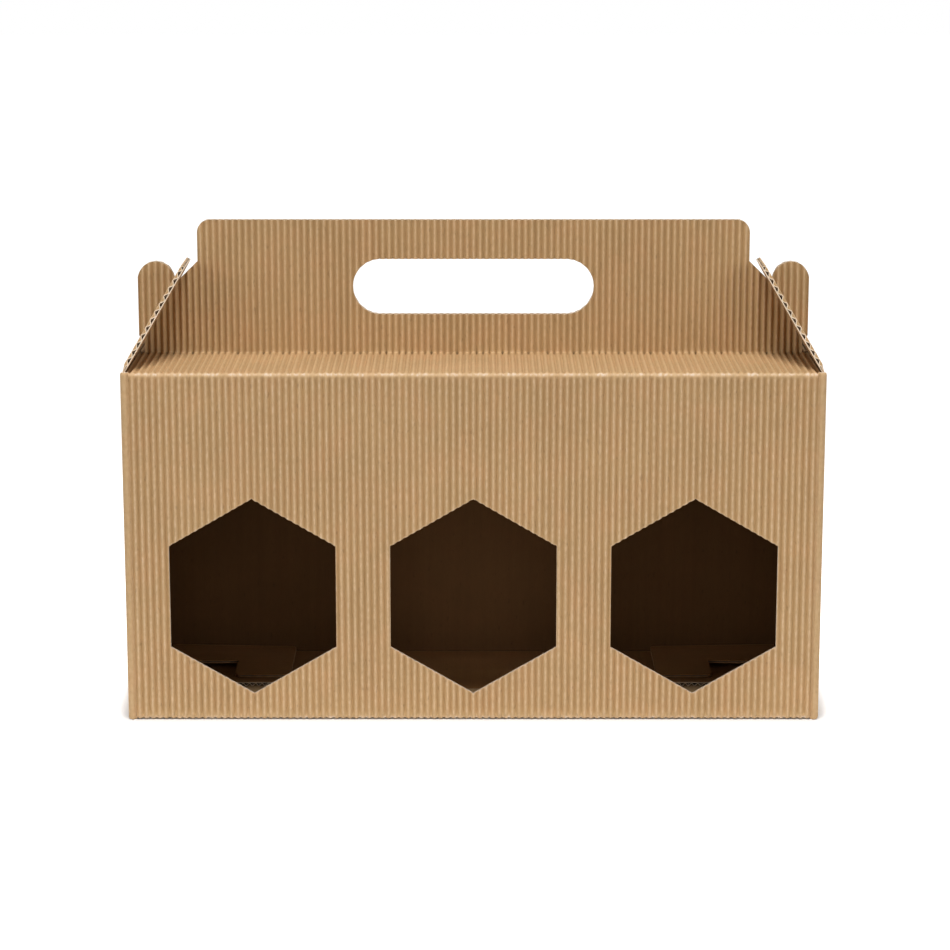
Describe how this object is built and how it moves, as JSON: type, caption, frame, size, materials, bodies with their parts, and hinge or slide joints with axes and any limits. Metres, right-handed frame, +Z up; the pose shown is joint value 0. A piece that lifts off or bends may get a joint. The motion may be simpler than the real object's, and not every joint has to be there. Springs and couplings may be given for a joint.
{
  "type": "jar gift box",
  "caption": "Folded carry box of fluted kraft board with hexagonal windows in its front, two lids that rise into a handle, and a lock flap at each end.",
  "frame": {"origin": "centre of the footprint, on the surface the box stands on", "axes": "+Z up, +X along the width, -Y towards the front with the windows"},
  "size_m": [0.264, 0.092, 0.1865],
  "materials": {
    "kraft_board": "matte"
  },
  "bodies": {
    "box": {"carton": "kraft_board"},
    "left_flap": {"left_lock_flap": "kraft_board"},
    "right_flap": {"right_lock_flap": "kraft_board"}
  },
  "joints": [
    {"name": "left_flap_hinge", "type": "hinge", "parent": "box", "child": "left_flap", "pos_m": [-0.1306, 0, 0.1347], "axis": [0, -1, 0], "range_deg": [0, 140]},
    {"name": "right_flap_hinge", "type": "hinge", "parent": "box", "child": "right_flap", "pos_m": [0.1306, 0, 0.1347], "axis": [0, 1, 0], "range_deg": [0, 140]}
  ]
}
